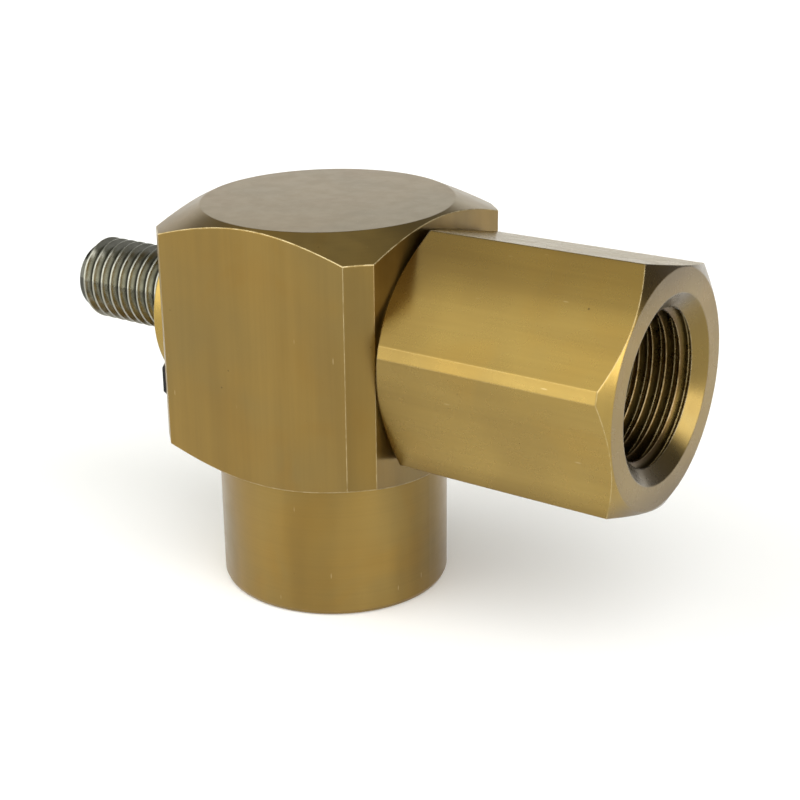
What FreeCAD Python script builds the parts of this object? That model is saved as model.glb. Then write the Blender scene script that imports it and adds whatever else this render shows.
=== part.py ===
import FreeCAD, Part
import math
import os

from FreeCAD import Vector

# Angle-pattern needle valve. Frame, in millimetres: the origin is the centre of the inlet's
# face, under the boss, +Z is up and +X runs along the stem towards the outlet. Each piece
# is drawn about the point where the stem axis crosses the inlet axis, then lifted into the
# frame. The needle is two turns off its seat.

TAN30 = math.tan(math.radians(30.0))
CUT = 1.0  # how far a cutting tool runs past the face it opens

# body block: square bar with broken corners, both ends turned to a shallow cone
BAR = 35.0
BAR_CORNER = 2.7
BLOCK_TOP_Z = 17.25
BLOCK_BOTTOM_Z = -18.0
TURNED_R = 17.0
TURNED_SLOPE = 0.465
BAR_REACH_R = 26.0

# inlet boss and its G 1/2 port
BOSS_R = 15.95
BOSS_BOTTOM_Z = -36.8
BOSS_EDGE = 0.7
PORT_PITCH = 1.814
PORT_MINOR_R = 9.32
PORT_MAJOR_R = 10.48
PORT_FLAT = 0.3
PORT_TURNS = 7
PORT_FIRST_GROOVE = 1.95
PORT_COUNTERSINK_R = 11.78
PORT_COUNTERSINK_END = (1.458, 9.823)  # depth and radius where the cone runs into the first groove
PORT_RELIEF = 1.6
PORT_DRILL_CONE = 3.3
INLET_PASSAGE_R = 5.5

# stepped bore along X, from the needle chamber out to both side openings
CHAMBER_R = 6.5
CHAMBER_X = (-5.5, 7.0)
PACKING_BORE_R = 7.5
PACKING_END_X = -10.9
SEAT_BORE_R = 11.0
SEAT_BORE_X = 11.0

# hexagonal outlet connector, turned about its own axis as it was tightened
HEX_AF = 30.0
HEX_TILT = 13.9
HEX_X = (17.5, 49.4)
HEX_BASE_R = 14.6
HEX_BASE = 0.22
HEX_END_R = 14.85
HEX_CHAMFER_SLOPE = 0.6
HEX_CORNER_FLAT = 1.6
SPIGOT_PITCH = 1.5
SPIGOT_CREST_R = 11.95
SPIGOT_ROOT_R = 11.15
SPIGOT_FLAT = 0.28
SPIGOT_TURNS = 3
THREAD_GAP = 0.07
OUTLET_PASSAGE_R = 4.5

# o-rings: ring centre radius, ring centre x and half thickness
OUTLET_RING = (12.96, 16.58, 0.9)
OUTLET_RING_RECESS = (13.95, 15.6)  # radius, and x of its floor
GLAND_RING = (11.62, -16.8, 0.62)
GLAND_RING_RECESS = (12.3, -16.1)
SEAT_RING = (9.4, 7.63, 0.6)
SEAT_RING_GROOVE = (8.7, 10.1, 1.27)

# seat: brass holder with a plastic insert
SEAT_HOLDER_R = 10.9
SEAT_INSERT_R = 6.0
SEAT_INSERT_LENGTH = 2.5
SEAT_ORIFICE_R = 2.5
SEAT_LEAD_R = 3.5
SEAT_LEAD = 1.0
SEAT_OUTLET_R = 3.0

# needle, which slides without turning
NEEDLE_TIP = (11.22, 0.8)
NEEDLE_CONE_BASE = (0.02, 3.6)
NEEDLE_TIP_ROUND = 0.45
NEEDLE_COLLAR_R = 5.0
NEEDLE_COLLAR_X = (-2.8, -0.6)
NEEDLE_SHANK_R = 4.0
NEEDLE_SHANK_END_X = -14.7
NEEDLE_TAIL_R = 3.0
NEEDLE_TAIL_END_X = -25.0
CLIP_GROOVE_X = (-19.5, -18.5)
CLIP_GROOVE_R = 2.5
CLIP_R = (2.58, 3.46)
CLIP_GAP = 0.08
CLIP_SPLIT = 0.9
BALL_R = 2.5
BALL_X = -27.53

# stem: M12 screw, bored from inside for the needle's tail, hexagon socket outside
STEM_X = (-43.0, -14.8)
STEM_PITCH = 1.75
STEM_CREST_R = 6.0
STEM_ROOT_R = 4.95
STEM_CREST_FLAT = STEM_PITCH / 8.0
RIDGE_SINK = 0.18  # how deep a thread's ridge is rooted in its core
STEM_RIDGE_START_X = -42.0
STEM_RIDGE_LENGTH = 26.1
STEM_TIP_R = 4.5
STEM_TIP_SHOULDER = (-41.75, 5.9)
STEM_INNER_CHAMFER = 0.9
STEM_BORE_R = 3.05
STEM_BORE_END_X = -30.08
STEM_CLIP_GROOVE_R = 3.55
STEM_SOCKET = (5.0, 4.0)

# gland nut: round flange with two pin-spanner holes, outer collar and threaded spigot
GLAND_X = (-21.05, -18.3)
GLAND_R = 12.8
GLAND_EDGE = 0.25
GLAND_COLLAR_R = 8.6
GLAND_COLLAR_X = -23.5
GLAND_COLLAR_EDGE = 0.6
SPANNER_HOLE_R = 1.25
SPANNER_HOLE_DEPTH = 2.0
SPANNER_HOLE_AT = 10.6
GLAND_CREST_R = 10.9
GLAND_ROOT_R = 10.05
GLAND_TURNS = 3
GLAND_BORE_R = 6.1
GLAND_RIDGE_R = 5.12
GLAND_RIDGE_SKIP = 11.5  # pitches after the stem's ridge starts; the half puts it in the groove
GLAND_RIDGE_TURNS = 5.8

# lock washer under the gland nut, with one flat tongue over the block's corner
WASHER_R = (11.0, 12.5)
WASHER_TONGUE_Y = (-14.5, -8.5)
WASHER_TONGUE_Z = (-10.3, -4.8)
WASHER_TONGUE_CORNER = 1.0

# packing set, stacked from the chamber outwards
PACKING_R = (4.04, 7.42)
SUPPORT_WASHER = 0.7
ADAPTER = 0.8
V_RING = 0.7
V_RINGS = 3
V_DEPTH = 0.35


def turned_x(points):
    """Solid of revolution about X from (x, radius) corners."""
    corners = [Vector(x, r, 0) for x, r in points]
    face = Part.Face(Part.makePolygon(corners + corners[:1]))
    return face.revolve(Vector(0, 0, 0), Vector(1, 0, 0), 360)


def turned_z(points):
    """Solid of revolution about Z from (radius, z) corners."""
    corners = [Vector(r, 0, z) for r, z in points]
    face = Part.Face(Part.makePolygon(corners + corners[:1]))
    return face.revolve(Vector(0, 0, 0), Vector(0, 0, 1), 360)


def torus_x(centre_r, centre_x, half):
    ring = Part.makeTorus(centre_r, half, Vector(0, 0, 0), Vector(1, 0, 0))
    ring.translate(Vector(centre_x, 0, 0))
    return ring


def thread_outline(start, pitch, turns, root_r, crest_r, flat, tan_flank=TAN30):
    """Corners of a ring thread's outline, from the root before the first crest to the last."""
    run = (crest_r - root_r) * tan_flank
    corners = []
    for n in range(turns):
        mid = start + (n + 0.5) * pitch
        corners += [
            (mid - flat / 2 - run, root_r),
            (mid - flat / 2, crest_r),
            (mid + flat / 2, crest_r),
            (mid + flat / 2 + run, root_r),
        ]
    return corners


def outlet_thread(gap):
    """Ring outline of the connector's thread; the gap opens it up for the hole it screws into."""
    root_r, crest_r = SPIGOT_ROOT_R + gap, SPIGOT_CREST_R + gap
    return thread_outline(SEAT_BORE_X, SPIGOT_PITCH, SPIGOT_TURNS, root_r, crest_r, SPIGOT_FLAT)


def gland_thread(gap):
    """The same for the gland nut's spigot."""
    start = PACKING_END_X - GLAND_TURNS * SPIGOT_PITCH
    root_r, crest_r = GLAND_ROOT_R + gap, GLAND_CREST_R + gap
    return thread_outline(start, SPIGOT_PITCH, GLAND_TURNS, root_r, crest_r, SPIGOT_FLAT)


def helical_ridge(start_x, length, base_r, crest_r):
    """Right-handed ridge of the stem's thread about X; base_r is where its wide side is."""
    pitch, flat = STEM_PITCH, STEM_CREST_FLAT
    run = abs(crest_r - base_r) * TAN30
    helix = Part.makeHelix(pitch, length, (base_r + crest_r) / 2)
    outline = [(base_r, -flat / 2 - run), (crest_r, -flat / 2)]
    outline += [(crest_r, flat / 2), (base_r, flat / 2 + run)]
    corners = [Vector(r, 0, z) for r, z in outline]
    sweep = Part.BRepOffsetAPI.MakePipeShell(Part.Wire(helix.Edges))
    sweep.setFrenetMode(True)
    sweep.add(Part.makePolygon(corners + corners[:1]))
    sweep.build()
    sweep.makeSolid()
    ridge = sweep.shape()
    ridge.rotate(Vector(0, 0, 0), Vector(0, 1, 0), 90)
    ridge.translate(Vector(start_x, 0, 0))
    return ridge


def hexagon_x(across_flats, x0, x1, tilt):
    """Hexagonal prism along X with one corner turned up from -Y by the given angle."""
    corner_r = across_flats / 2 / math.cos(math.radians(30))
    corners = []
    for n in range(6):
        turn = math.radians(tilt + 60 * n)
        corners.append(Vector(x0, -corner_r * math.cos(turn), corner_r * math.sin(turn)))
    face = Part.Face(Part.makePolygon(corners + corners[:1]))
    return face.extrude(Vector(x1 - x0, 0, 0))


def port_cavity(passage_r):
    """Outline of a G 1/2 port measured inwards from its mouth: (depth, radius) corners."""
    start = PORT_FIRST_GROOVE - PORT_PITCH / 2
    end = start + PORT_TURNS * PORT_PITCH + PORT_RELIEF
    tan_flank = math.tan(math.radians(27.5))
    thread = thread_outline(start, PORT_PITCH, PORT_TURNS, PORT_MINOR_R, PORT_MAJOR_R, PORT_FLAT, tan_flank)
    corners = [(-CUT, 0), (-CUT, PORT_COUNTERSINK_R), (0, PORT_COUNTERSINK_R), PORT_COUNTERSINK_END]
    corners += thread[1:]
    corners += [(end, PORT_MINOR_R), (end + PORT_DRILL_CONE, passage_r), (end + PORT_DRILL_CONE, 0)]
    return corners


def block_blank():
    half = BAR / 2
    near = half - BAR_CORNER
    plan = [(half, near), (near, half), (-near, half), (-half, near)]
    plan += [(-x, -y) for x, y in plan]
    corners = [Vector(x, y, BLOCK_BOTTOM_Z) for x, y in plan]
    face = Part.Face(Part.makePolygon(corners + corners[:1]))
    bar = face.extrude(Vector(0, 0, BLOCK_TOP_Z - BLOCK_BOTTOM_Z))
    drop = (BAR_REACH_R - TURNED_R) * TURNED_SLOPE
    envelope = turned_z([
        (0, BLOCK_BOTTOM_Z), (TURNED_R, BLOCK_BOTTOM_Z), (BAR_REACH_R, BLOCK_BOTTOM_Z + drop),
        (BAR_REACH_R, BLOCK_TOP_Z - drop), (TURNED_R, BLOCK_TOP_Z), (0, BLOCK_TOP_Z),
    ])
    return bar.common(envelope)


def body_block():
    low = BOSS_BOTTOM_Z
    boss = turned_z([
        (0, low), (BOSS_R - BOSS_EDGE, low), (BOSS_R - 0.3 * BOSS_EDGE, low + 0.3 * BOSS_EDGE),
        (BOSS_R, low + BOSS_EDGE), (BOSS_R, BLOCK_BOTTOM_Z + CUT), (0, BLOCK_BOTTOM_Z + CUT),
    ])
    solid = block_blank().fuse(boss).removeSplitter()
    solid = solid.cut(turned_z([(r, low + depth) for depth, r in port_cavity(INLET_PASSAGE_R)]))
    solid = solid.cut(Part.makeCylinder(INLET_PASSAGE_R, -low - PORT_RELIEF, Vector(0, 0, low + PORT_RELIEF)))
    return solid.cut(side_bores())


def side_bores():
    """Everything bored along X, from the gland's opening to the outlet's."""
    half = BAR / 2
    recess_r, recess_x = OUTLET_RING_RECESS
    gland_recess_r, gland_recess_x = GLAND_RING_RECESS
    gland_r = GLAND_ROOT_R + THREAD_GAP
    outlet_r = SPIGOT_ROOT_R + THREAD_GAP
    corners = [(-half - CUT, 0), (-half - CUT, gland_recess_r), (gland_recess_x, gland_recess_r)]
    corners += [(gland_recess_x, gland_r)] + gland_thread(THREAD_GAP)
    corners += [
        (PACKING_END_X, gland_r), (PACKING_END_X, PACKING_BORE_R),
        (CHAMBER_X[0], PACKING_BORE_R), (CHAMBER_X[0], CHAMBER_R),
        (CHAMBER_X[1], CHAMBER_R), (CHAMBER_X[1], SEAT_BORE_R),
        (SEAT_BORE_X, SEAT_BORE_R), (SEAT_BORE_X, outlet_r),
    ]
    corners += outlet_thread(THREAD_GAP)
    corners += [(recess_x, outlet_r), (recess_x, recess_r), (half + CUT, recess_r), (half + CUT, 0)]
    return turned_x(corners)


def outlet_connector():
    x0, x1 = HEX_X
    start = x0 + HEX_BASE
    rise = (HEX_AF * 0.6 - HEX_END_R) * HEX_CHAMFER_SLOPE
    envelope = turned_x([
        (start, 0), (start, HEX_END_R), (start + rise, HEX_AF * 0.6),
        (x1 - rise, HEX_AF * 0.6), (x1, HEX_END_R), (x1, 0),
    ])
    solid = hexagon_x(HEX_AF, start, x1, HEX_TILT).common(envelope)
    solid = solid.cut(corner_flat_tool(start, x1))
    recess_x = OUTLET_RING_RECESS[1]
    spigot = [(SEAT_BORE_X, 0), (SEAT_BORE_X, SPIGOT_ROOT_R)] + outlet_thread(0.0)
    spigot += [
        (recess_x, SPIGOT_ROOT_R), (recess_x, SPIGOT_CREST_R), (x0, SPIGOT_CREST_R), (x0, HEX_BASE_R),
        (start, HEX_BASE_R), (start + CUT, HEX_BASE_R - CUT), (start + CUT, 0),
    ]
    solid = solid.fuse(turned_x(spigot)).removeSplitter()
    solid = solid.cut(turned_x([(x1 - depth, r) for depth, r in port_cavity(OUTLET_PASSAGE_R)]))
    inner_end = Vector(SEAT_BORE_X - CUT, 0, 0)
    return solid.cut(Part.makeCylinder(OUTLET_PASSAGE_R, x1 - SEAT_BORE_X, inner_end, Vector(1, 0, 0)))


def corner_flat_tool(x0, x1):
    """Block that planes a narrow flat along the hexagon's front corner."""
    corner_r = HEX_AF / 2 / math.cos(math.radians(30))
    near = corner_r - HEX_CORNER_FLAT / 2 * TAN30
    tool = Part.makeBox(x1 - x0 + 2 * CUT, 4.0, 8.0, Vector(x0 - CUT, -near - 4.0, -4.0))
    tool.rotate(Vector(0, 0, 0), Vector(1, 0, 0), -HEX_TILT)
    return tool


def seat_holder():
    x0, x1 = CHAMBER_X[1], SEAT_BORE_X
    insert_end = x0 + SEAT_INSERT_LENGTH
    groove_r0, groove_r1, groove_depth = SEAT_RING_GROOVE
    return turned_x([
        (x0, SEAT_INSERT_R), (x0, groove_r0), (x0 + groove_depth, groove_r0), (x0 + groove_depth, groove_r1),
        (x0, groove_r1), (x0, SEAT_HOLDER_R), (x1, SEAT_HOLDER_R), (x1, SEAT_OUTLET_R),
        (insert_end, SEAT_OUTLET_R), (insert_end, SEAT_INSERT_R),
    ])


def seat_insert():
    x0 = CHAMBER_X[1]
    x1 = x0 + SEAT_INSERT_LENGTH
    return turned_x([
        (x0, SEAT_LEAD_R), (x0, SEAT_INSERT_R), (x1, SEAT_INSERT_R), (x1, SEAT_ORIFICE_R),
        (x0 + SEAT_LEAD, SEAT_ORIFICE_R),
    ])


def needle():
    tip_x, tip_r = NEEDLE_TIP
    base_x, base_r = NEEDLE_CONE_BASE
    collar_x0, collar_x1 = NEEDLE_COLLAR_X
    groove_x0, groove_x1 = CLIP_GROOVE_X
    edge = 0.3
    return turned_x([
        (tip_x + NEEDLE_TIP_ROUND, 0), (tip_x + NEEDLE_TIP_ROUND, tip_r - NEEDLE_TIP_ROUND), (tip_x, tip_r),
        (base_x, base_r), (collar_x1, base_r), (collar_x1, NEEDLE_COLLAR_R - edge),
        (collar_x1 - edge, NEEDLE_COLLAR_R), (collar_x0, NEEDLE_COLLAR_R), (collar_x0, NEEDLE_SHANK_R),
        (NEEDLE_SHANK_END_X + edge, NEEDLE_SHANK_R), (NEEDLE_SHANK_END_X, NEEDLE_SHANK_R - edge),
        (NEEDLE_SHANK_END_X, NEEDLE_TAIL_R), (groove_x1, NEEDLE_TAIL_R), (groove_x1, CLIP_GROOVE_R),
        (groove_x0, CLIP_GROOVE_R), (groove_x0, NEEDLE_TAIL_R), (NEEDLE_TAIL_END_X + edge, NEEDLE_TAIL_R),
        (NEEDLE_TAIL_END_X, NEEDLE_TAIL_R - edge), (NEEDLE_TAIL_END_X, 0),
    ])


def needle_clip():
    x0, x1 = CLIP_GROOVE_X[0] + CLIP_GAP, CLIP_GROOVE_X[1] - CLIP_GAP
    ring = turned_x([(x0, CLIP_R[0]), (x0, CLIP_R[1]), (x1, CLIP_R[1]), (x1, CLIP_R[0])])
    split = Part.makeBox(x1 - x0 + 2 * CUT, CLIP_SPLIT, 2 * CLIP_R[1], Vector(x0 - CUT, -CLIP_SPLIT / 2, 0))
    return ring.cut(split)


def stem():
    x0, x1 = STEM_X
    shoulder_x, shoulder_r = STEM_TIP_SHOULDER
    core = turned_x([(x0, 0), (x0, STEM_ROOT_R), (x1, STEM_ROOT_R), (x1, 0)])
    ridge = helical_ridge(STEM_RIDGE_START_X, STEM_RIDGE_LENGTH, STEM_ROOT_R - RIDGE_SINK, STEM_CREST_R)
    past_r = STEM_CREST_R + CUT
    inner_x = x1 - STEM_INNER_CHAMFER
    envelope = turned_x([
        (x0, 0), (x0, STEM_TIP_R), (shoulder_x, shoulder_r), (shoulder_x + 0.4, past_r),
        (inner_x, past_r), (inner_x, STEM_ROOT_R), (x1, STEM_ROOT_R - 0.5), (x1, 0),
    ])
    solid = core.fuse(ridge).common(envelope)
    groove_x0, groove_x1 = CLIP_GROOVE_X
    solid = solid.cut(turned_x([
        (x1 + CUT, 0), (x1 + CUT, STEM_BORE_R), (groove_x1, STEM_BORE_R), (groove_x1, STEM_CLIP_GROOVE_R),
        (groove_x0, STEM_CLIP_GROOVE_R), (groove_x0, STEM_BORE_R), (STEM_BORE_END_X, STEM_BORE_R),
        (STEM_BORE_END_X, 0),
    ]))
    across_flats, depth = STEM_SOCKET
    return solid.cut(hexagon_x(across_flats, x0 - CUT, x0 + depth, 0))


def gland_nut():
    x0, x1 = GLAND_X
    recess_x = GLAND_RING_RECESS[1]
    corners = [
        (GLAND_COLLAR_X, GLAND_BORE_R), (GLAND_COLLAR_X, GLAND_COLLAR_R - GLAND_COLLAR_EDGE),
        (GLAND_COLLAR_X + GLAND_COLLAR_EDGE, GLAND_COLLAR_R), (x0, GLAND_COLLAR_R),
        (x0, GLAND_R - GLAND_EDGE), (x0 + GLAND_EDGE, GLAND_R), (x1, GLAND_R), (x1, GLAND_CREST_R),
        (recess_x, GLAND_CREST_R), (recess_x, GLAND_ROOT_R),
    ]
    corners += gland_thread(0.0)
    corners += [(PACKING_END_X, GLAND_ROOT_R), (PACKING_END_X, GLAND_BORE_R)]
    ridge_x = STEM_RIDGE_START_X + GLAND_RIDGE_SKIP * STEM_PITCH
    ridge_length = GLAND_RIDGE_TURNS * STEM_PITCH
    ridge = helical_ridge(ridge_x, ridge_length, GLAND_BORE_R + RIDGE_SINK, GLAND_RIDGE_R)
    solid = turned_x(corners).fuse(ridge)
    for side in (-1, 1):
        mouth = Vector(x0 - CUT, side * SPANNER_HOLE_AT, 0)
        solid = solid.cut(Part.makeCylinder(SPANNER_HOLE_R, SPANNER_HOLE_DEPTH + CUT, mouth, Vector(1, 0, 0)))
    return solid


def gland_lock_washer():
    x0, x1 = GLAND_X[1], -BAR / 2
    ring = turned_x([(x0, WASHER_R[0]), (x0, WASHER_R[1]), (x1, WASHER_R[1]), (x1, WASHER_R[0])])
    y0, y1 = WASHER_TONGUE_Y
    z0, z1 = WASHER_TONGUE_Z
    cut = WASHER_TONGUE_CORNER
    plan = [(y1, z0), (y0 + cut, z0), (y0, z0 + cut), (y0, z1 - cut), (y0 + cut, z1), (y1, z1)]
    corners = [Vector(x0, y, z) for y, z in plan]
    tongue = Part.Face(Part.makePolygon(corners + corners[:1])).extrude(Vector(x1 - x0, 0, 0))
    hole = Part.makeCylinder(WASHER_R[0], 4.0, Vector(x0 - CUT, 0, 0), Vector(1, 0, 0))
    return ring.fuse(tongue).cut(hole).removeSplitter()


def packing_ring(x_in, x_out, v_in, v_out):
    """Ring between two faces; v_in and v_out say how deep each face's V runs towards -X."""
    r0, r1 = PACKING_R
    mid = (r0 + r1) / 2
    corners = [(x_in, r0)]
    if v_in:
        corners.append((x_in - v_in, mid))
    corners += [(x_in, r1), (x_out, r1)]
    if v_out:
        corners.append((x_out - v_out, mid))
    corners.append((x_out, r0))
    return turned_x(corners)


def packing_set():
    """Support washer, chevron rings between two adapters, and the follower."""
    rows = [("packing_support_washer", SUPPORT_WASHER, 0, 0), ("packing_bottom_adapter", ADAPTER, 0, V_DEPTH)]
    rows += [(f"packing_v_ring_{n + 1}", V_RING, V_DEPTH, V_DEPTH) for n in range(V_RINGS)]
    rows += [("packing_top_adapter", ADAPTER, V_DEPTH, 0)]
    pieces = {}
    x = CHAMBER_X[0]
    for name, thickness, v_in, v_out in rows:
        pieces[name] = packing_ring(x, x - thickness, v_in, v_out)
        x -= thickness
    pieces["packing_follower"] = packing_ring(x, PACKING_END_X, 0, 0)
    return pieces


def main():
    os.makedirs("parts", exist_ok=True)
    pieces = {
        "body_block": body_block(),
        "outlet_connector": outlet_connector(),
        "outlet_o_ring": torus_x(*OUTLET_RING),
        "seat_holder": seat_holder(),
        "seat_insert": seat_insert(),
        "seat_o_ring": torus_x(*SEAT_RING),
        "needle": needle(),
        "needle_clip": needle_clip(),
        "thrust_ball": Part.makeSphere(BALL_R, Vector(BALL_X, 0, 0)),
        "stem": stem(),
        "gland_nut": gland_nut(),
        "gland_lock_washer": gland_lock_washer(),
        "gland_o_ring": torus_x(*GLAND_RING),
    }
    pieces.update(packing_set())
    for name, shape in pieces.items():
        shape.translate(Vector(0, 0, -BOSS_BOTTOM_Z))
        shape.exportStep(f"parts/{name}.step")


main()
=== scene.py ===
import math

import bpy
from mathutils import Matrix, Vector


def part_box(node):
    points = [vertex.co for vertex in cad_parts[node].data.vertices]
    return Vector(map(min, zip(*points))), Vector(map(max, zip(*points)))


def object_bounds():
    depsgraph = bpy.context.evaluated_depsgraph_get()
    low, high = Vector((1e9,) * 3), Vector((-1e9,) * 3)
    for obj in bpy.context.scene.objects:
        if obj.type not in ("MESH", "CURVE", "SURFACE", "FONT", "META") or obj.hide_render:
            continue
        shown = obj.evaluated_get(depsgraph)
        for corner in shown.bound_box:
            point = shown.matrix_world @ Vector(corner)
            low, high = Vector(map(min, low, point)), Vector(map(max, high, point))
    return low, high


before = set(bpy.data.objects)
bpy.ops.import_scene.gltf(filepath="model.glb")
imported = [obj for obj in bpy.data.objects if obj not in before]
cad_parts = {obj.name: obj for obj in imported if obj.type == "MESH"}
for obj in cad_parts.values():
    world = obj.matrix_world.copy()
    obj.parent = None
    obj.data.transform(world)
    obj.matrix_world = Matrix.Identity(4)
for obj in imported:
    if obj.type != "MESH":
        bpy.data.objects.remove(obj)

CAD_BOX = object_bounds()
MM = 1000.0  # object coordinates are metres; textures are written in millimetres
AXLE_Z = sum(corner[2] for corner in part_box("stem")) / 2.0 * MM  # height of the stem's axis, mm
BOSS_TOP_Z = AXLE_Z - 18.1  # just under the block's bottom face, where its round boss begins
PORT_BORE_R = 9.9  # a port's thread crests and its passage lie within this radius
PORT_MOUTH_R = 12.0  # a port's countersink lies within this radius
THREAD_ROOTS = (5.05, 5.45)  # radii on the stem: near a groove's floor, and where painted groove shade starts
X_AXIS = (1.0, 0.0, 0.0)
Z_AXIS = (0.0, 0.0, 1.0)
FRONT = (0.0, -1.0, 0.0)


# ---------------------------------------------------------------- node helpers

class Tree:
    """A node tree with short calls for the nodes used here."""

    def __init__(self, tree):
        self.tree = tree
        self.tree.nodes.clear()

    def node(self, kind, **settings):
        made = self.tree.nodes.new(kind)
        for key, value in settings.items():
            setattr(made, key, value)
        return made

    def put(self, socket, value):
        """Links another node's output, or sets a plain value; None leaves the socket alone."""
        if isinstance(value, bpy.types.NodeSocket):
            self.tree.links.new(value, socket)
        elif value is not None:
            socket.default_value = value

    def math(self, kind, a, b=None):
        made = self.node("ShaderNodeMath", operation=kind)
        self.put(made.inputs[0], a)
        self.put(made.inputs[1], b)
        return made.outputs[0]

    def vector(self, kind, a, b=None):
        made = self.node("ShaderNodeVectorMath", operation=kind)
        self.put(made.inputs[0], a)
        self.put(made.inputs[1], b)
        return made.outputs["Value"] if kind in ("DOT_PRODUCT", "LENGTH") else made.outputs["Vector"]

    def split(self, vector):
        made = self.node("ShaderNodeSeparateXYZ")
        self.put(made.inputs[0], vector)
        return made.outputs

    def join(self, x, y, z):
        made = self.node("ShaderNodeCombineXYZ")
        for socket, value in zip(made.inputs, (x, y, z)):
            self.put(socket, value)
        return made.outputs[0]

    def noise(self, vector, scale, detail=3.0, rough=0.5, distort=0.0):
        made = self.node("ShaderNodeTexNoise")
        self.put(made.inputs["Vector"], vector)
        made.inputs["Scale"].default_value = scale
        made.inputs["Detail"].default_value = detail
        made.inputs["Roughness"].default_value = rough
        made.inputs["Distortion"].default_value = distort
        return made.outputs["Fac"]

    def cells(self, vector, scale):
        """Distance to the nearest of many scattered points."""
        made = self.node("ShaderNodeTexVoronoi", feature="F1")
        self.put(made.inputs["Vector"], vector)
        made.inputs["Scale"].default_value = scale
        return made.outputs["Distance"]

    def remap(self, value, low, high, to_low=0.0, to_high=1.0):
        """A smooth step from to_low at low to to_high at high; low may be the larger."""
        made = self.node("ShaderNodeMapRange", interpolation_type="SMOOTHSTEP")
        self.put(made.inputs["Value"], value)
        for name, number in zip(("From Min", "From Max", "To Min", "To Max"), (low, high, to_low, to_high)):
            made.inputs[name].default_value = number
        return made.outputs["Result"]

    def mix(self, factor, a, b, blend="MIX"):
        made = self.node("ShaderNodeMix", data_type="RGBA", blend_type=blend)
        self.put(made.inputs["Factor"], factor)
        self.put(made.inputs["A"], a)
        self.put(made.inputs["B"], b)
        return made.outputs["Result"]


# ---------------------------------------------------------------- colours

def rgb(r, g, b):
    return (r, g, b, 1.0)


def tint(colour, *by):
    """The colour with its channels multiplied."""
    return rgb(*[channel * factor for channel, factor in zip(colour, by)])


GOLD = rgb(0.244, 0.153, 0.034)
OLIVE = rgb(0.216, 0.144, 0.039)
PALE_GOLD = rgb(0.318, 0.216, 0.054)
LIGHT_GOLD = rgb(0.33, 0.23, 0.055)
WORN_BRASS = rgb(0.90, 0.76, 0.46)
SCRATCHED_BRASS = rgb(0.75, 0.62, 0.36)
WORN_STEEL = rgb(0.8, 0.79, 0.74)
PAINTED_GROOVE_SHADE = rgb(0.03, 0.03, 0.025)
SHADE = rgb(0.76, 0.74, 0.70)  # painted shade: the three shades multiply the tone of faces darkened to stand in for dim reflections
MOUTH_SHADE = rgb(0.62, 0.63, 0.68)
EDGE_SHADE = rgb(0.54, 0.50, 0.37)


# ---------------------------------------------------------------- parts of a material

NEVER_ZERO = (0.01, 0.007, 0.004)  # keeps a direction defined on faces square to the axis


def new_material(name):
    made = bpy.data.materials.new(name)
    made.use_nodes = True
    return made, Tree(made.node_tree)


def surface(t, colour, roughness, normal, metallic=1.0, coat=0.0, coat_rough=0.3):
    out = t.node("ShaderNodeOutputMaterial")
    shader = t.node("ShaderNodeBsdfPrincipled")
    t.put(shader.inputs["Base Color"], colour)
    t.put(shader.inputs["Roughness"], roughness)
    t.put(shader.inputs["Normal"], normal)
    shader.inputs["Metallic"].default_value = metallic
    shader.inputs["Coat Weight"].default_value = coat
    shader.inputs["Coat Roughness"].default_value = coat_rough
    t.tree.links.new(shader.outputs[0], out.inputs["Surface"])
    return shader


def place_mm(t):
    """Position on the part in millimetres."""
    return t.vector("MULTIPLY", t.node("ShaderNodeTexCoord").outputs["Object"], (MM, MM, MM))


def cross(t, a, b):
    return t.vector("CROSS_PRODUCT", a, b)


def spread(t, normal, axis, off_axle, turned):
    """Direction that fine tool marks spread a highlight in: across rings where the surface is
    turned about the axis, and across lines along the axis elsewhere."""
    rings = cross(t, normal, t.vector("NORMALIZE", cross(t, axis, off_axle)))
    lines = t.vector("ADD", cross(t, normal, axis), NEVER_ZERO)
    rings = t.vector("NORMALIZE", rings)
    lines = t.vector("NORMALIZE", lines)
    step = t.vector("SUBTRACT", rings, lines)
    return t.vector("ADD", lines, t.vector("MULTIPLY", step, t.join(turned, turned, turned)))


def edge_mask(t, radius_mm):
    """0 on flats, towards 1 where the surface turns a corner within the radius; and the rounded normal."""
    bevel = t.node("ShaderNodeBevel", samples=8)
    bevel.inputs["Radius"].default_value = radius_mm / MM
    flat = t.node("ShaderNodeNewGeometry").outputs["Normal"]
    turn = t.vector("DOT_PRODUCT", bevel.outputs[0], flat)
    return t.remap(turn, 0.995, 0.86), bevel.outputs[0]


def bump(t, height, strength, distance_mm, normal=None):
    made = t.node("ShaderNodeBump")
    made.inputs["Strength"].default_value = strength
    made.inputs["Distance"].default_value = distance_mm / MM
    t.put(made.inputs["Height"], height)
    t.put(made.inputs["Normal"], normal)
    return made.outputs[0]


# ---------------------------------------------------------------- brass

BRASS_EDGE_MM = 0.3
BRASS_COAT = 0.28
BRASS_ANISOTROPY = 0.75
ACROSS_MARKS, ALONG_MARKS = 1.7, 0.05  # noise scales per mm, of lines along the axis
ACROSS_BANDS, ALONG_BANDS = 0.22, 0.02
RINGS_PER_MM = 2.4
ACROSS_TICKS, ALONG_TICKS = 0.8, 0.16
CLOUDS_PER_MM = 0.05
FILM_PER_MM = 0.075
SPECKS_PER_MM = 0.42


def along_axis(t, at, axis, across, along):
    """Coordinates for noise drawn out along the axis."""
    return t.vector("MULTIPLY", at, [along if part else across for part in axis])


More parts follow.
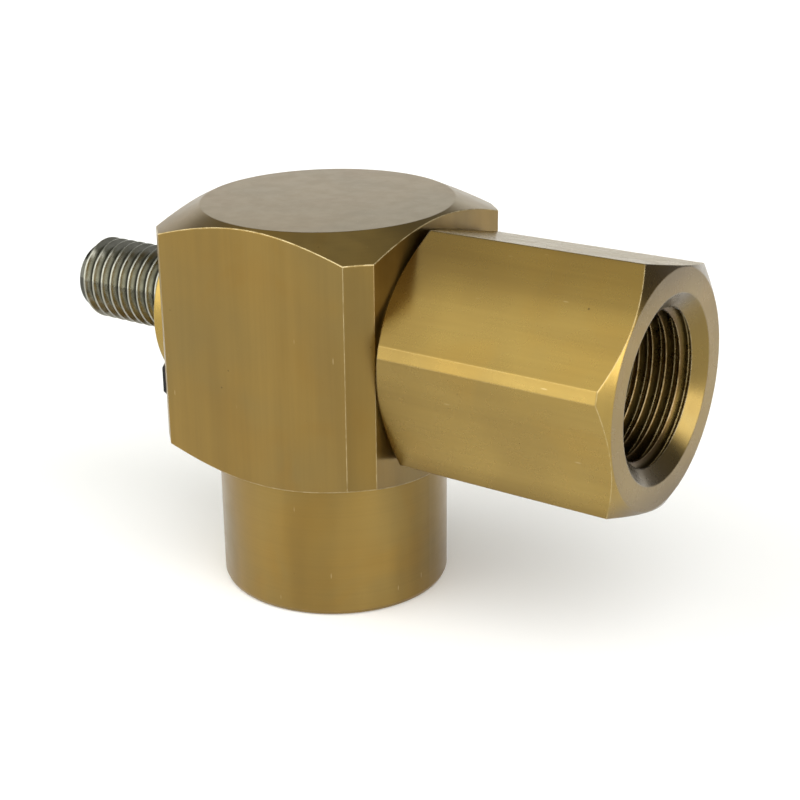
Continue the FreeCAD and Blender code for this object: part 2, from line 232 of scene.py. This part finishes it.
def tool_marks(t, at, axis, reach, turned):
    """Fine lines along the axis on planed faces, and rings about it on turned ones."""
    planed = t.noise(along_axis(t, at, axis, ACROSS_MARKS, ALONG_MARKS), 1.0, 1.5, 0.6)
    height = t.vector("DOT_PRODUCT", at, axis)
    out = t.math("MULTIPLY", reach, RINGS_PER_MM)
    up = t.math("MULTIPLY", height, RINGS_PER_MM)
    rings = t.noise(t.join(out, up, 0.0), 1.0, 1.5, 0.6)
    return t.mix(turned, planed, rings)


def broad_bands(t, at, axis, lean):
    """Wide soft bands along the axis, about 0.5; they fade out on the end faces."""
    bands = t.noise(along_axis(t, at, axis, ACROSS_BANDS, ALONG_BANDS), 1.0, 1.0, 0.5, 0.2)
    swing = t.math("MULTIPLY", t.math("SUBTRACT", bands, 0.5), t.remap(lean, 0.9, 0.4))
    return t.math("ADD", 0.5, swing)


def dark_specks(t, at):
    """1 in small scattered pits, found in patches."""
    pits = t.remap(t.cells(at, SPECKS_PER_MM), 0.075, 0.03)
    return t.math("MULTIPLY", pits, t.remap(t.noise(at, 0.19, 1.0), 0.55, 0.62))


def pale_ticks(t, at, axis):
    """1 in short scratches along the axis, found in patches."""
    ticks = t.remap(t.cells(along_axis(t, at, axis, ACROSS_TICKS, ALONG_TICKS), 1.0), 0.09, 0.04)
    return t.math("MULTIPLY", ticks, t.remap(t.noise(at, 0.11, 1.0), 0.54, 0.60))


def brass_tone(t, at, axis, light, dark, marks, bands, specks):
    """Broad clouds of the two colours under a pale film, with bands, marks, specks and scratches."""
    clouds = t.remap(t.noise(at, CLOUDS_PER_MM, 2.0, 0.5, 0.4), 0.36, 0.64)
    film = t.remap(t.noise(at, FILM_PER_MM, 2.0, 0.5, 0.8), 0.48, 0.68, 0.0, 0.6)
    tone = t.mix(clouds, light, dark)
    tone = t.mix(film, tone, tint(light, 0.98, 0.92, 0.78))
    tone = t.mix(t.remap(bands, 0.50, 0.70, 0.0, 0.30), tone, tint(light, 1.18, 1.2, 1.3))
    tone = t.mix(t.remap(bands, 0.50, 0.30, 0.0, 0.30), tone, tint(dark, 0.76, 0.72, 0.66))
    tone = t.mix(t.remap(marks, 0.36, 0.70, 0.0, 0.09), tone, tint(dark, 0.66, 0.66, 0.66))
    tone = t.mix(t.math("MULTIPLY", specks, 0.7), tone, tint(dark, 0.25, 0.25, 0.25))
    return t.mix(t.math("MULTIPLY", pale_ticks(t, at, axis), 0.22), tone, SCRATCHED_BRASS)


def paint_shade_on_outer_end(t, tone, normal, lean, off_axle, not_front):
    """Painted shade darkens the hexagon's end chamfers, and its end face and flats far above and below the
    axis.
    """
    chamfer = t.math("MULTIPLY", not_front, t.math("LESS_THAN", lean, 0.98))
    chamfer = t.math("MULTIPLY", chamfer, t.remap(lean, 0.15, 0.25))
    tone = t.mix(chamfer, tone, SHADE, "MULTIPLY")
    off_level = t.math("ABSOLUTE", t.split(off_axle)[2])
    not_level = t.remap(t.split(normal)[2], 0.90, 0.97, 1.0, 0.0)
    high_low = t.math("MULTIPLY", t.remap(off_level, 8.5, 15.5), not_level)
    return t.mix(high_low, tone, EDGE_SHADE, "MULTIPLY")


def brass(name, light, dark, roughness, axis, axle_z, boss_top=None, faced=None, shaded=None, fade=None,
          port=False, wear=0.6):
    """Satin brass with soft clouds and faint tool marks, worn pale on its edges.

    boss_top: below this height the surface is turned. faced: a lean along the axis from which a
    face isn't turned. shaded: from and to which +X lean painted shade darkens the metal, and by how much.
    fade: from and to which x it brightens out of a painted shade. port: it has a threaded hole, painted
    darker in its mouth and bore.
    """
    made, t = new_material(name)
    at = place_mm(t)
    normal = t.node("ShaderNodeNewGeometry").outputs["Normal"]
    edge, round_normal = edge_mask(t, BRASS_EDGE_MM)
    off_axle = t.vector("SUBTRACT", at, (0.0, 0.0, axle_z))
    reach = t.vector("LENGTH", cross(t, axis, off_axle))
    lean = t.math("ABSOLUTE", t.vector("DOT_PRODUCT", normal, axis))
    turned = t.remap(lean, 0.10, 0.14)
    if faced is not None:
        turned = t.math("MULTIPLY", turned, t.remap(lean, faced, faced - 0.02))
    boss = 1.0
    if boss_top is not None:
        boss = t.math("LESS_THAN", t.split(at)[2], boss_top)
        turned = t.math("MAXIMUM", turned, boss)

    marks = tool_marks(t, at, axis, reach, turned)
    bands = broad_bands(t, at, axis, lean)
    specks = dark_specks(t, at)
    tone = brass_tone(t, at, axis, light, dark, marks, bands, specks)
    if fade:
        # painted shade: darker near the block, brightening outward along x
        inner, outer = fade
        tone = t.mix(t.remap(t.split(at)[0], outer, inner, 0.0, 0.85), tone, SHADE, "MULTIPLY")
    if shaded:
        # painted shade: faces leaning towards +X are darkened
        least, most, amount = shaded
        toward_x = t.remap(t.vector("DOT_PRODUCT", normal, X_AXIS), least, most, 0.0, amount)
        if boss_top is not None:
            toward_x = t.math("MULTIPLY", toward_x, t.math("SUBTRACT", 1.0, boss))
        else:
            not_front = t.remap(t.vector("DOT_PRODUCT", normal, FRONT), 0.42, 0.20)
            toward_x = t.math("MULTIPLY", toward_x, not_front)
            tone = paint_shade_on_outer_end(t, tone, normal, lean, off_axle, not_front)
        tone = t.mix(toward_x, tone, SHADE, "MULTIPLY")
    if port:
        # painted shade: the port's countersink mouth and its threaded bore are darkened
        mouth = t.math("MULTIPLY", t.remap(reach, PORT_MOUTH_R, PORT_MOUTH_R - 0.3), boss)
        tone = t.mix(mouth, tone, MOUTH_SHADE, "MULTIPLY")
        inside = t.math("MULTIPLY", t.remap(reach, PORT_BORE_R, PORT_BORE_R - 0.5), boss)
        tone = t.mix(t.math("MULTIPLY", inside, 0.8), tone, tint(dark, 0.36, 0.27, 0.2))
    ragged = t.remap(t.noise(at, 0.7, 5.0, 0.75), 0.30, 0.62, 0.1, 1.0)
    worn = t.math("MULTIPLY", t.math("MULTIPLY", edge, ragged), wear)
    tone = t.mix(worn, tone, WORN_BRASS)

    rough = t.remap(t.noise(at, 0.35, 3.0, 0.6), 0.3, 0.7, roughness - 0.03, roughness + 0.03)
    relief = t.math("ADD", t.math("MULTIPLY", marks, 0.25), bands)
    relief = t.math("SUBTRACT", relief, t.math("MULTIPLY", specks, 0.35))
    fine_bump = bump(t, relief, 0.25, 0.05, round_normal)
    shader = surface(t, tone, rough, fine_bump, coat=BRASS_COAT, coat_rough=0.22)
    shader.inputs["Anisotropic"].default_value = BRASS_ANISOTROPY
    t.put(shader.inputs["Tangent"], spread(t, normal, axis, off_axle, turned))
    return made


# ---------------------------------------------------------------- steel, rubber and plastic

def thread_grooves(t, at, floor_r, top_r):
    """Painted groove shade: towards 1 at the floor of a thread's grooves, and 0 on end faces."""
    reach = t.vector("LENGTH", cross(t, X_AXIS, t.vector("SUBTRACT", at, (0.0, 0.0, AXLE_Z))))
    end_on = t.math("ABSOLUTE", t.split(t.node("ShaderNodeNewGeometry").outputs["Normal"])[0])
    return t.math("MULTIPLY", t.remap(reach, top_r, floor_r, 0.0, 0.85), t.remap(end_on, 0.98, 0.95))


def steel(name, light, dark, roughness, grain, edge_mm=0.12, wear=0.5, turned=0.0, relief=0.25, roots=None):
    """Plain steel with fine lines. turned: how far its highlight spreads along X, for a surface
    turned about X. roots: radii between which painted shade darkens a thread's grooves, the floor's first.
    """
    made, t = new_material(name)
    at = place_mm(t)
    edge, round_normal = edge_mask(t, edge_mm)
    mottle = t.noise(at, 0.8, 4.0, 0.6)
    lines = t.noise(t.vector("MULTIPLY", at, grain), 1.0, 1.5, 0.65)
    tone = t.mix(t.remap(mottle, 0.3, 0.7), light, dark)
    tone = t.mix(t.remap(lines, 0.35, 0.7, 0.0, 0.2), tone, tint(dark, 0.6, 0.6, 0.6))
    tone = t.mix(t.math("MULTIPLY", edge, wear), tone, WORN_STEEL)
    if roots:
        # painted shade: the thread's grooves are darkened towards their floor
        tone = t.mix(thread_grooves(t, at, *roots), tone, PAINTED_GROOVE_SHADE)
    rough = t.remap(mottle, 0.25, 0.75, roughness - 0.05, roughness + 0.07)
    height = t.math("ADD", lines, t.math("MULTIPLY", t.noise(at, 3.0), 0.5))
    shader = surface(t, tone, rough, bump(t, height, relief, 0.03, round_normal))
    if turned:
        tangent = t.node("ShaderNodeTangent", direction_type="RADIAL", axis="X")
        shader.inputs["Anisotropic"].default_value = turned
        shader.inputs["Anisotropic Rotation"].default_value = 0.25
        t.put(shader.inputs["Tangent"], tangent.outputs[0])
    return made


def plastic(name, light, dark, roughness, speck):
    made, t = new_material(name)
    at = place_mm(t)
    mottle = t.noise(at, 0.6, 3.0, 0.6)
    tone = t.mix(t.remap(mottle, 0.3, 0.7), light, dark)
    fine = t.noise(at, speck, 4.0, 0.7)
    tone = t.mix(t.remap(fine, 0.5, 0.8, 0.0, 0.3), tone, tint(dark, 0.7, 0.7, 0.7))
    rough = t.remap(fine, 0.3, 0.7, roughness - 0.06, roughness + 0.08)
    shader = surface(t, tone, rough, bump(t, fine, 0.3, 0.04), metallic=0.0)
    shader.inputs["Specular IOR Level"].default_value = 0.4
    return made


def dress(materials):
    """Puts each node's material in all its slots."""
    for node, material in materials.items():
        slots = bpy.data.objects[node].material_slots
        if not slots:
            bpy.data.objects[node].data.materials.append(material)
        for slot in slots:
            slot.material = material


# ---------------------------------------------------------------- camera, light, floor

LENS = 71.9  # mm
SENSOR_WIDTH = 36.0  # mm
FRAMING_SHIFT = (0.1606, -0.0107)  # the valve sits left of the lens's axis
DISTANCE, ASIDE, ABOVE = 218.544, -8.016, -9.583  # from the axes' crossing to the camera, mm
TURNED, TIPPED, ROLLED = 38.438, 20.991, -2.243  # the camera's angles, degrees


def camera():
    """Looks down on the front corner, from a short distance."""
    aside, down, roll = math.radians(TURNED), math.radians(TIPPED), math.radians(ROLLED)
    forward = Vector((-math.sin(aside) * math.cos(down), math.cos(aside) * math.cos(down), -math.sin(down)))
    level_right = Vector((math.cos(aside), math.sin(aside), 0.0))
    level_up = level_right.cross(forward)
    right = math.cos(roll) * level_right + math.sin(roll) * level_up
    up = -math.sin(roll) * level_right + math.cos(roll) * level_up
    spot = (Vector((0.0, 0.0, AXLE_Z)) - forward * DISTANCE + right * ASIDE + up * ABOVE) / MM
    turn = Matrix((right, up, -forward)).transposed()
    data = bpy.data.cameras.new("camera")
    data.sensor_width = SENSOR_WIDTH
    data.lens = LENS
    data.shift_x, data.shift_y = FRAMING_SHIFT
    data.clip_start = 0.01
    made = bpy.data.objects.new("camera", data)
    made.matrix_world = Matrix.Translation(spot) @ turn.to_4x4()
    bpy.context.scene.collection.objects.link(made)
    bpy.context.scene.camera = made


BACKDROP = rgb(0.97, 0.98, 0.94)
CEILING = rgb(0.26, 0.26, 0.235)
BACKDROP_TOP = 0.36  # sine of the elevation where the backdrop ends
SOFT_LIGHTS = (  # towards, cosine where full, cosine where gone, light
    ((-0.20, 0.10, 0.97), 0.97, 0.84, rgb(0.48, 0.48, 0.43)),
    ((-0.32, -0.52, 0.79), 0.96, 0.86, rgb(1.55, 1.55, 1.45)),
    ((-0.70, -0.60, 0.38), 0.96, 0.88, rgb(2.9, 2.9, 2.75)),
    ((-0.52, -0.83, 0.18), 0.95, 0.82, rgb(2.9, 2.9, 2.8)),
    ((0.97, -0.14, 0.16), 0.95, 0.80, rgb(4.6, 4.6, 4.5)),
    ((0.54, 0.82, 0.20), 0.94, 0.78, rgb(0.35, 0.35, 0.35)),  # darker than the backdrop it covers
    ((0.55, -0.45, 0.70), 0.95, 0.72, rgb(2.4, 2.4, 2.4)),
)


def studio_world():
    """A pale backdrop round the horizon and a dim ceiling, with soft patches on them, one of them dark."""
    world = bpy.data.worlds.new("studio")
    bpy.context.scene.world = world
    world.use_nodes = True
    t = Tree(world.node_tree)
    way = t.node("ShaderNodeTexCoord").outputs["Generated"]
    above = t.remap(t.split(way)[2], BACKDROP_TOP - 0.05, BACKDROP_TOP + 0.05)
    tone = t.mix(above, BACKDROP, CEILING)
    for towards, full, gone, light in SOFT_LIGHTS:
        lobe = t.remap(t.vector("DOT_PRODUCT", way, Vector(towards).normalized()), gone, full)
        tone = t.mix(lobe, tone, light)
    back = t.node("ShaderNodeBackground")
    t.put(back.inputs["Color"], tone)
    out = t.node("ShaderNodeOutputWorld")
    t.tree.links.new(back.outputs[0], out.inputs["Surface"])


FLOOR_HALF = 3.0  # metres
FLOOR_GLOW = 0.10
FLOOR_LIGHT = rgb(0.93, 0.93, 0.925)
FLOOR_DARK = rgb(0.91, 0.91, 0.905)


def floor():
    """A wide pale sheet under the valve, with a faint glow so that it stays white."""
    mesh = bpy.data.meshes.new("floor")
    z = CAD_BOX[0][2]
    corners = [(-1, -1), (1, -1), (1, 1), (-1, 1)]
    mesh.from_pydata([(x * FLOOR_HALF, y * FLOOR_HALF, z) for x, y in corners], [], [(0, 1, 2, 3)])
    made = bpy.data.objects.new("floor", mesh)
    bpy.context.scene.collection.objects.link(made)
    material, t = new_material("floor_pale")
    tone = t.mix(t.remap(t.noise(place_mm(t), 0.02, 3.0), 0.3, 0.7), FLOOR_LIGHT, FLOOR_DARK)
    shader = surface(t, tone, 0.7, None, metallic=0.0)
    shader.inputs["Specular IOR Level"].default_value = 0.2
    shader.inputs["Emission Color"].default_value = rgb(1.0, 1.0, 1.0)
    shader.inputs["Emission Strength"].default_value = FLOOR_GLOW
    mesh.materials.append(material)


# ---------------------------------------------------------------- scene

BODY = brass("brass_body", GOLD, OLIVE, 0.34, Z_AXIS, 0.0, boss_top=BOSS_TOP_Z, faced=0.98,
             shaded=(0.3, 0.7, 0.45), port=True, wear=0.85)
CONNECTOR = brass("brass_connector", PALE_GOLD, tint(PALE_GOLD, 0.86, 0.85, 0.85), 0.28, X_AXIS, AXLE_Z,
                  shaded=(0.4, 0.6, 1.0), fade=(19.0, 36.0), port=True, wear=0.4)
GLAND = brass("brass_gland", LIGHT_GOLD, PALE_GOLD, 0.26, X_AXIS, AXLE_Z)
INNER = brass("brass_inner", LIGHT_GOLD, PALE_GOLD, 0.3, X_AXIS, AXLE_Z)
STAINLESS = steel("stainless", rgb(0.36, 0.355, 0.305), rgb(0.30, 0.295, 0.25), 0.2, (3.0, 1.0, 1.0))
STEM = steel("stem_steel", rgb(0.37, 0.365, 0.31), rgb(0.31, 0.305, 0.255), 0.16, (3.0, 1.0, 1.0),
             edge_mm=0.22, wear=0.05, turned=0.85, relief=0.05, roots=THREAD_ROOTS)
SPRING = steel("spring_wire", rgb(0.3, 0.31, 0.33), rgb(0.22, 0.23, 0.25), 0.3, (6.0, 1.0, 1.0))
BALL = steel("ball_steel", rgb(0.62, 0.63, 0.65), rgb(0.55, 0.56, 0.58), 0.12, (1.0, 1.0, 1.0), wear=0.0)
BLACK_STEEL = steel("black_steel", rgb(0.03, 0.03, 0.032), rgb(0.02, 0.02, 0.022), 0.45, (4.0, 1.0, 1.0),
                    wear=0.1)
RUBBER = plastic("black_rubber", rgb(0.02, 0.02, 0.02), rgb(0.03, 0.03, 0.03), 0.6, 3.0)
SEAT = plastic("seat_plastic", rgb(0.76, 0.72, 0.6), rgb(0.7, 0.66, 0.54), 0.45, 2.0)
PACKING = plastic("packing_white", rgb(0.82, 0.82, 0.79), rgb(0.76, 0.76, 0.72), 0.5, 2.5)

dress({
    "body_block": BODY, "outlet_connector": CONNECTOR, "gland_nut": GLAND,
    "seat_holder": INNER, "packing_follower": INNER,
    "stem": STEM, "needle": STAINLESS, "packing_support_washer": STAINLESS,
    "needle_clip": SPRING, "thrust_ball": BALL, "gland_lock_washer": BLACK_STEEL,
    "outlet_o_ring": RUBBER, "seat_o_ring": RUBBER, "gland_o_ring": RUBBER, "seat_insert": SEAT,
    "packing_bottom_adapter": PACKING, "packing_v_ring_1": PACKING, "packing_v_ring_2": PACKING,
    "packing_v_ring_3": PACKING, "packing_top_adapter": PACKING,
})

bpy.context.scene.view_settings.view_transform = "Standard"
camera()
studio_world()
floor()
